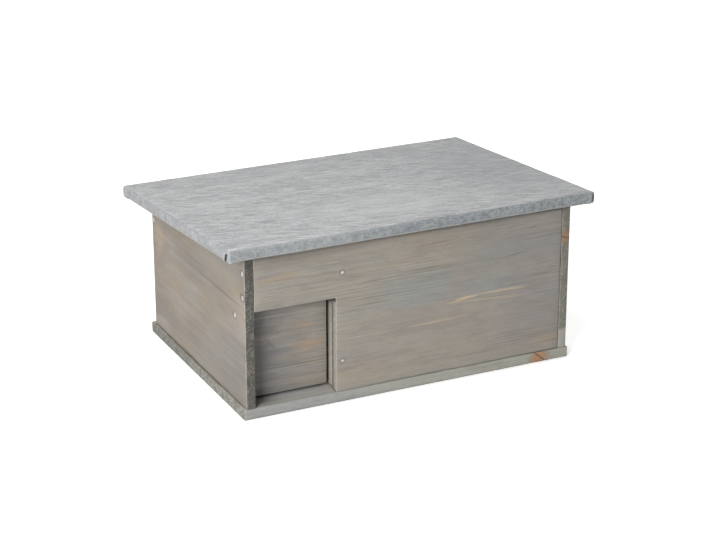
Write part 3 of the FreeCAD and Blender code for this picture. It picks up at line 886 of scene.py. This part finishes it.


# How each board looks. Pine explains axes and pith. wash is the two tones of its faces and end_tones those
# of its ends, lines is how strongly its grain shows, rub how pale its arrises, and the last value how dark
# its joints and corners are with dirt and painted shade.
# Patches are tone, length and height of the middle, half length, half height and strength.
# End patches are tone, height and depth of the middle, half height, half depth and strength.
# Marks are tone, length and height of the middle, half length, half width, tilt and strength.
# Knots are the middle, the half sizes, the way across the crack and strength.
# A half size that is larger than the board lets the tone reach right across it.
BOARDS = {}
BOARDS["front_wall"] = dict(
    axes="XY", pith=(0.2, -0.215), rub=0.6,
    end_tones=(colour(146, 142, 133), colour(176, 170, 160)),
    end_patches=[
        # Painted shade along the back edge of the wall's ends, as at the jamb beside the partition
        (SEAM_AND_SHADE_DARK, 0.07, FRONT_HIGH.y, 0.5, 0.005, 0.6),
        # Painted shadow of the lintel at the top of the jamb
        (SEAM_AND_SHADE_DARK, LINTEL_Z - 0.0015, FRONT_LOW.y, 0.0055, 1.0, 0.9),
    ],
    patches=[
        (WASH_WARM, -0.1, 0.15, 0.13, 0.08, 0.6),
        # Painted shadow under the eave at the top left
        (DARK_GRAIN_AND_SHADE, -0.15, 0.203, 0.1, 0.014, 0.3),
        # Painted shade in the joint with the right wall
        (SEAM_AND_SHADE_DARK, FRONT_HIGH.x, 0.1, 0.0016, 0.5, 0.8),
        (WASH_PURPLE, 0.185, 0.12, 0.085, 0.13, 0.7),
        (WASH_BLUE, 0.008, 0.132, 0.062, 0.032, 0.62),
        (WASH_BLUE, 0.108, 0.125, 0.045, 0.018, 0.6),
        (WASH_TAN, 0.195, 0.032, 0.03, 0.012, 0.5),
        (WASH_TAN, 0.03, 0.18, 0.075, 0.028, 0.36),
        (WASH_TAN, -0.075, 0.032, 0.05, 0.026, 0.3),
    ],
    marks=[
        (STREAK_TAN, 0.07, 0.1072, 0.026, 0.0024, 0.11, 1.0),
        (STREAK_TAN, 0.128, 0.11, 0.05, 0.0028, -0.04, 0.5),
        (STREAK_TAN, 0.112, 0.1014, 0.075, 0.0024, -0.077, 0.5),
        (STREAK_TAN, -0.045, 0.083, 0.06, 0.002, 0.0, 0.3),
        (STREAK_TAN, 0.035, 0.084, 0.05, 0.0024, 0.01, 1.0),
        (STREAK_ORANGE, -0.184, 0.1772, 0.046, 0.007, 0.09, 0.5),
        # Painted shadow under the roof along the top of the wall
        (SEAM_AND_SHADE_DARK, 0.0, 0.209, 3.0, 0.0055, 0.0, 0.9),
        # Painted shade in the joint with the base
        (SEAM_AND_SHADE_DARK, 0.14, 0.0144, 0.3, 0.002, 0.0, 0.9),
        (DARK_GRAIN_AND_SHADE, 0.1487, 0.1557, 0.022, 0.0013, 0.096, 0.7),
        (DARK_GRAIN_AND_SHADE, 0.035, 0.189, 0.03, 0.0012, 0.03, 0.6),
        (DARK_GRAIN_AND_SHADE, -0.054, 0.124, 0.04, 0.0016, 0.0, 0.55),
        (DARK_GRAIN_AND_SHADE, 0.18, 0.123, 0.035, 0.0014, 0.02, 0.5),
    ],
)
BOARDS["left_wall"] = dict(
    axes="YX", pith=(0.044, -0.18), lines=0.45, wash=(SIDE_COOL, SIDE_WARM),
    end_tones=(colour(70, 69, 66), colour(112, 110, 104)),
    # Painted shade at the top of the front end, under the roof
    end_patches=[(colour(62, 61, 58), 0.198, LEFT_LOW.x, 0.026, 1.0, 0.45)],
    patches=[
        (WASH_BLUE, 0.02, 0.1, 0.036, 0.02, 0.26),
        (WASH_BLUE, 0.082, 0.128, 0.03, 0.018, 0.2),
        (WASH_GREY, -0.12, 0.06, 0.06, 0.07, 0.7),
        (WASH_TAN, 0.128, 0.147, 0.02, 0.026, 0.6),
        # Painted shade round the screw heads
        *painted_shade_halos(SCREWS_IN_BOARD["left_wall"]),
    ],
    marks=[
        (SEAM_AND_SHADE_DARK, -0.095, 0.1443, 0.075, 0.0012, 0.0, 0.7),
        (SEAM_AND_SHADE_DARK, 0.0, 0.1443, 0.5, 0.001, 0.0, 0.3),
    ],
)
BOARDS["right_wall"] = dict(
    axes="YX", pith=(0.118, 0.165), lines=0.6, wash=(SIDE_COOL, SIDE_WARM),
    end_tones=(colour(110, 110, 101), colour(142, 140, 128)),
    end_patches=[(colour(176, 174, 166), 0.024, RIGHT_LOW.x, 0.019, 1.0, 0.8)],
    knots=[((0.2195, RIGHT_LOW.y, 0.166), (0.01, 0.02, 0.0105), (0.3, 0.0, 0.95), 0.45)],
    marks=[(SEAM_AND_SHADE_DARK, 0.02, 0.092, 0.11, 0.0011, 0.0, 0.7)],
)
BOARDS["back_wall"] = dict(
    axes="XY", pith=(0.02, 0.235),
    knots=[
        ((0.082, BACK_HIGH.y, 0.071), (0.011, 0.02, 0.007), (0.8, 0.0, 0.6), 0.55),
        ((-0.131, BACK_HIGH.y, 0.139), (0.008, 0.02, 0.005), (0.5, 0.0, -0.85), 0.55),
    ],
    marks=[
        (STREAK_TAN, -0.02, 0.155, 0.07, 0.004, 0.02, 0.5),
        (STREAK_TAN, 0.15, 0.06, 0.06, 0.003, -0.03, 0.5),
    ],
)
BOARDS["partition_wall"] = dict(
    axes="YX", pith=(0.07, -0.02),
    patches=[
        # Painted light on the front of the partition
        (ARRIS_PALE_AND_LIGHT, -0.15, 0.07, 0.03, 0.12, 0.6),
        # Painted shade just behind the jamb
        (SEAM_AND_SHADE_DARK, -0.144, 0.07, 0.003, 0.5, 0.85),
        # Painted shadow of the lintel at the top
        (SEAM_AND_SHADE_DARK, -0.138, 0.133, 0.025, 0.009, 1.0),
    ],
)
BOARDS["base_board"] = dict(
    axes="XZ", pith=(-0.05, -0.085), rub=0.2, dirt_and_shade=0.3, wash=(BASE_COOL, BASE_WARM),
    end_tones=(colour(98, 97, 91), colour(164, 162, 153)),
    end_patches=[(colour(84, 83, 78), 0.12, BASE_LOW.z, 0.12, 1.0, 0.35)],
    patches=[
        # Painted shadow of the left wall on the entrance floor
        (PAINTED_SHADE_BLUE, -0.206, -0.142, 0.045, 0.022, 0.7),
        # Painted shade along the foot of the left wall
        (DARK_GRAIN_AND_SHADE, -0.225, 0.02, 0.005, 0.18, 0.95),
        (BASE_BLUE, -0.15, -0.165, 0.11, 0.02, 0.75),
        (BASE_PALE, -0.145, -0.138, 0.05, 0.016, 0.8),
    ],
    knots=[
        ((0.186, BASE_LOW.y, 0.0075), (0.0125, 0.015, 0.01), (0.62, 0.0, 0.78), 0.75),
        ((-0.06, 0.02, BASE_HIGH.z), (0.012, 0.008, 0.02), (0.4, 0.9, 0.0), 0.8),
    ],
)
BOARDS["entrance_flap"] = dict(
    axes="XY", pith=(0.1, -0.19), lines=1.35,
    patches=[
        (DARK_GRAIN_AND_SHADE, -0.16, 0.045, 0.08, 0.04, 0.25),
        # Painted shadow of the left wall on the flap's left part
        (PAINTED_SHADE_BLUE, -0.215, 0.07, 0.072, 0.12, 0.7),
    ],
    marks=[
        (STREAK_ORANGE, -0.138, 0.102, 0.018, 0.005, -0.05, 0.5),
        (STREAK_ORANGE, -0.131, 0.075, 0.032, 0.008, 0.02, 0.65),
        (DARK_GRAIN_AND_SHADE, -0.179, 0.08, 0.012, 0.0035, -1.1, 0.45),
        (DARK_GRAIN_AND_SHADE, -0.15, 0.09, 0.03, 0.006, 0.02, 0.4),
    ],
)
BOARDS["roof_board"] = dict(
    axes="XZ", pith=(0.03, 0.3),
    knots=[((0.11, 0.05, 0.2), (0.012, 0.008, 0.03), (0.7, 0.7, 0.0), 0.6)],
)


def build_boards():
    for seed, (node, look) in enumerate(BOARDS.items(), start=1):
        plank(node, pine(node + "_pine", seed=seed, **look), seed)


# Roofing felt


def roof_axes():
    """Matrix from the roof's own axes to the frame, and the roof board's half sizes and thickness.

    The axes start at the middle of the board's top: X across, Y down the slope to the back, Z out of it.
    """
    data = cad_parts["roof_board"].data
    top = max(data.polygons, key=lambda polygon: polygon.normal.z * polygon.area)
    up = top.normal.normalized()
    across = Vector((1, 0, 0))
    turn = Matrix((across, up.cross(across), up)).transposed()
    places = [turn.transposed() @ vert.co for vert in data.vertices]
    low, high = corners_of(places)
    start = turn @ Vector(((low.x + high.x) / 2, (low.y + high.y) / 2, high.z))
    return Matrix.Translation(start) @ turn.to_4x4(), (high - low) / 2, high.z - low.z


ROOF, ROOF_HALF, ROOF_THICKNESS = roof_axes()
FELT_HALF_X = ROOF_HALF.x + FELT_THICKNESS
FELT_HALF_Y = ROOF_HALF.y + FELT_THICKNESS
FELT_TOP = FELT_THICKNESS
FELT_HEIGHT = ROOF_THICKNESS + 2 * FELT_THICKNESS


def felt_profile():
    """Steps out from the flat top's edge and down: round the arris, down the side, round, back under."""
    steps = []
    arris = [math.pi / 2 * i / FELT_ARRIS_STEPS for i in range(1, FELT_ARRIS_STEPS + 1)]
    side = FELT_HEIGHT - 2 * FELT_ARRIS
    for angle in arris:
        steps.append((FELT_ARRIS * math.sin(angle), FELT_ARRIS * (1 - math.cos(angle))))
    for i in range(1, FELT_SIDE_STEPS + 1):
        steps.append((FELT_ARRIS, FELT_ARRIS + side * i / FELT_SIDE_STEPS))
    for angle in arris:
        steps.append((FELT_ARRIS * math.cos(angle), FELT_ARRIS + side + FELT_ARRIS * math.sin(angle)))
    for i in range(1, FELT_RETURN_STEPS + 1):
        steps.append((-(FELT_RETURN - FELT_ARRIS) * i / FELT_RETURN_STEPS, FELT_HEIGHT))
    return steps


def hold(value, low, high):
    """Keep a value between low and high."""
    return max(low, min(high, value))


def bell(value, middle, width):
    """1 at the middle, falling to 0 on both sides."""
    return math.exp(-(((value - middle) / width) ** 2))


def round_corner(x, y):
    """Move a point of a sharp-cornered sheet on to the rounded corner."""
    limit_x = FELT_HALF_X - FELT_CORNER
    limit_y = FELT_HALF_Y - FELT_CORNER
    inner_x = hold(x, -limit_x, limit_x)
    inner_y = hold(y, -limit_y, limit_y)
    off = Vector((x - inner_x, y - inner_y))
    if off.x and off.y:
        off = off.normalized() * max(abs(off.x), abs(off.y))
    return inner_x + off.x, inner_y + off.y


def graded(half):
    """Grid lines from -half to half, close together near the ends, where the corners are folded."""
    inner = half - FELT_FINE_REACH
    end = evenly(inner, half, FELT_FINE_CELL)
    return [-place for place in end[::-1]] + evenly(-inner, inner, FELT_CELL)[1:-1] + end


def felt_mesh():
    """The sheet's outer face: a grid over the top, with the profile's steps as rows and columns round it.

    The hem underneath is mitred at the corners.
    """
    profile = felt_profile()
    top_x = FELT_HALF_X - FELT_ARRIS
    top_y = FELT_HALF_Y - FELT_ARRIS
    columns = graded(top_x)
    rows = graded(top_y)
    steps = len(profile)

    def beyond(index, lines):
        """A grid line's place on the flat top, and how many steps it is past which edge."""
        inside = hold(index, 0, len(lines) - 1)
        return lines[inside], index - inside

    mesh = bmesh.new()
    grid = {}
    for i in range(-steps, len(columns) + steps):
        for j in range(-steps, len(rows) + steps):
            x, past_x = beyond(i, columns)
            y, past_y = beyond(j, rows)
            level = max(abs(past_x), abs(past_y))
            out, down = profile[level - 1] if level else (0.0, 0.0)
            if level:
                x += out * past_x / level
                y += out * past_y / level
            x, y = round_corner(x, y)
            if level and out <= 0:
                x = hold(x, -top_x - out, top_x + out)
                y = hold(y, -top_y - out, top_y + out)
            grid[i, j] = mesh.verts.new((x, y, FELT_TOP - down))
    for i, j in grid:
        ring = [(i, j), (i + 1, j), (i + 1, j + 1), (i, j + 1)]
        if all(key in grid for key in ring):
            mesh.faces.new([grid[key] for key in ring])
    bmesh.ops.remove_doubles(mesh, verts=mesh.verts, dist=FELT_WELD)
    return mesh


def swell(mesh):
    """Let the felt stand a little off the board in slow lumps, more at its edges than on top."""
    mesh.normal_update()
    moves = []
    for vert in mesh.verts:
        slow = waves(vert.co, SWELL_SLOW_WAVES, (0, 0, FELT_SEED))
        quick = waves(vert.co, SWELL_QUICK_WAVES, (0, FELT_SEED, 0))
        lump = (1 + SWELL_SLOW * slow + SWELL_QUICK * quick) / 2
        on_edge = 1 - abs(vert.normal.z)
        rise = FELT_SWELL * (SWELL_ON_TOP + (1 - SWELL_ON_TOP) * on_edge) * lump
        moves.append((vert, vert.normal * rise))
    for vert, move in moves:
        vert.co += move


def fold_corner(mesh, slit_shade, side_x, side_y, face, place, lean, droop):
    """Tuck the felt in at one corner: a slit on one face, painted dark as shade, behind which the felt
    stands out.

    place is how far the slit is from the corner at the top, and lean how much farther it is at the bottom.
    """
    half = (FELT_HALF_X, FELT_HALF_Y)
    other = 1 - face
    for vert in mesh.verts:
        signed = (vert.co.x * side_x, vert.co.y * side_y)
        down = (FELT_TOP - vert.co.z) / FELT_HEIGHT
        from_corner = math.hypot(half[0] - signed[0], half[1] - signed[1])
        if from_corner < DROOP_REACH:
            vert.co.z -= droop * hold(DROOP_RATE * down, 0.0, 1.0) * (1 - from_corner / DROOP_REACH)
        if signed[face] < half[face] - FELT_CORNER:
            continue
        behind = half[other] - signed[other]
        folded = hold((down - FOLD_START) / FOLD_REACH, 0.0, 1.0)
        past_slit = behind - place - lean * down
        bulge = BULGE_RISE * bell(past_slit, BULGE_BEHIND, BULGE_WIDTH)
        dip = SLIT_DEPTH * bell(past_slit, 0.0, SLIT_WIDTH)
        vert.co[face] += (side_x, side_y)[face] * folded * (bulge - dip)
        vert[slit_shade] = max(vert[slit_shade], folded * bell(past_slit, DARK_BEHIND, DARK_WIDTH))


# Each corner's side in X and Y, the axis of the slit's face, the slit's place and lean, and the lip's droop
CORNER_FOLDS = [
    (-1, -1, 0, 3.9 * MM, 6.8 * MM, 1.8 * MM),
    (1, -1, 1, 1.4 * MM, 0.6 * MM, 0.2 * MM),
    (-1, 1, 0, 4.5 * MM, 5.0 * MM, 1.2 * MM),
    (1, 1, 0, 4.2 * MM, 6.0 * MM, 1.2 * MM),
]


def build_felt():
    mesh = felt_mesh()
    swell(mesh)
    slit_shade = mesh.verts.layers.float.new("slit")
    for corner in CORNER_FOLDS:
        fold_corner(mesh, slit_shade, *corner)
    mesh.transform(ROOF)
    sheet = new_piece("roof_felt_sheet", mesh, felt(), "roof")
    solid = sheet.modifiers.new("thickness", "SOLIDIFY")
    solid.thickness = FELT_THICKNESS
    solid.offset = -1.0
    sheet.data.shade_smooth()
    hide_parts("roof_felt")


# Metal


def build_metal():
    """Finish the CAD model's own screws, hinges and staples, and ease the edges of screws and leaves."""
    screw = zinc("zinc_screw_plating", colour(242, 242, 240), colour(132, 131, 128), 0.34, rubbed=True)
    # The left wall's screws get a lighter copy of the screw finish: painted light
    side_screw_lit = zinc(
        "zinc_screw_plating_lit_copy", colour(240, 240, 238), colour(168, 168, 165), 0.34, rubbed=True
    )
    hinge = zinc("zinc_hinge_plating", colour(158, 159, 160), colour(116, 118, 120), 0.4)
    wire = zinc("galvanised_wire", colour(168, 169, 169), colour(126, 128, 130), 0.42)
    for name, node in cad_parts.items():
        if name in SCREWS_IN_BOARD["left_wall"]:
            finish = side_screw_lit
        elif "screw" in name:
            finish = screw
        elif "hinge" in name:
            finish = hinge
        elif "staple" in name:
            finish = wire
        else:
            continue
        for slot in node.material_slots:
            slot.material = finish
        if "leaf" in name or "screw" in name:
            ease(node)


def ease(node):
    """Round the sharp edges of a CAD piece, once its flat faces are whole."""
    weld = node.modifiers.new("weld", "WELD")
    weld.merge_threshold = EASE_WELD
    flat = node.modifiers.new("flat", "DECIMATE")
    flat.decimate_type = "DISSOLVE"
    flat.angle_limit = EASE_FLAT
    bevel = node.modifiers.new("eased", "BEVEL")
    bevel.width = EASE_WIDTH
    bevel.segments = EASE_STEPS
    bevel.limit_method = "ANGLE"
    bevel.angle_limit = SHARP


# Stage


def build_world(fill):
    """A white surround to look at, and an even fill light from it."""
    world = bpy.data.worlds.new("studio")
    world.use_nodes = True
    bpy.context.scene.world = world
    nodes = Nodes(world.node_tree)
    background = nodes.tree.nodes["Background"]
    nodes.feed(background.inputs["Color"], WHITE)
    nodes.feed(background.inputs["Strength"], nodes.span(nodes.seen_by_eye(), 0.0, 1.0, fill, 1.0))


def build_floor(near_lift, far_lift):
    """A white floor that keeps the object's shadow. To the eye it is lifted to white, more so far away."""
    mesh = bmesh.new()
    bmesh.ops.create_grid(mesh, x_segments=1, y_segments=1, size=FLOOR_HALF)
    floor = add_mesh("floor", mesh)
    paint = Finish("floor_white")
    paint.feed(paint.shader.inputs["Emission Color"], WHITE)
    lift = paint.span(paint.length(paint.place()), LIFT_NEAR, LIFT_FAR, near_lift, far_lift)
    # Near the object the lift is lowered, as a painted contact shadow
    openness = paint.openness(CONTACT_REACH, CONTACT_SAMPLES)
    lift = paint.maths("MULTIPLY", lift, paint.span(openness, *CONTACT_SPAN, CONTACT_LIFT, 1.0))
    glow = paint.maths("MULTIPLY", paint.seen_by_eye(), lift)
    paint.feed(paint.shader.inputs["Emission Strength"], glow)
    floor.data.materials.append(paint.surface(FLOOR_GREY, 0.9, Specular_IOR_Level=0.0))


def aim(thing, azimuth, elevation, distance):
    """Let a lamp or the camera look at the object. Azimuth 0 is straight in front, positive to the left."""
    turn = math.radians(azimuth)
    rise = math.radians(elevation)
    level = math.cos(rise)
    forward = Vector((math.sin(turn) * level, math.cos(turn) * level, -math.sin(rise)))
    thing.location = AIM - forward * distance
    thing.rotation_euler = forward.to_track_quat("-Z", "Y").to_euler()


def add_softbox(name, azimuth, elevation, distance, size, power):
    """A square area lamp."""
    lamp = bpy.data.lights.new(name, "AREA")
    lamp.shape = "SQUARE"
    lamp.size = size
    lamp.energy = power
    aim(add_object(name, lamp), azimuth, elevation, distance)


def build_camera():
    lens = bpy.data.cameras.new("photo_camera")
    lens.lens = LENS_MM
    lens.sensor_width = SENSOR_MM
    lens.sensor_fit = "HORIZONTAL"
    camera = add_object("photo_camera", lens)
    aim(camera, AZIMUTH, ELEVATION, DISTANCE)
    bpy.context.scene.camera = camera


def build_stage():
    bpy.context.scene.view_settings.view_transform = "Standard"
    build_world(fill=0.15)
    build_floor(near_lift=0.78, far_lift=0.88)
    add_softbox("key", azimuth=50, elevation=20, distance=3.2, size=1.24, power=80)
    add_softbox("top", azimuth=80, elevation=62, distance=1.9, size=1.5, power=20)
    add_softbox("back", azimuth=205, elevation=14, distance=3.0, size=1.2, power=26)
    build_camera()


build_boards()
build_felt()
build_metal()
build_stage()

bpy.context.view_layer.update()
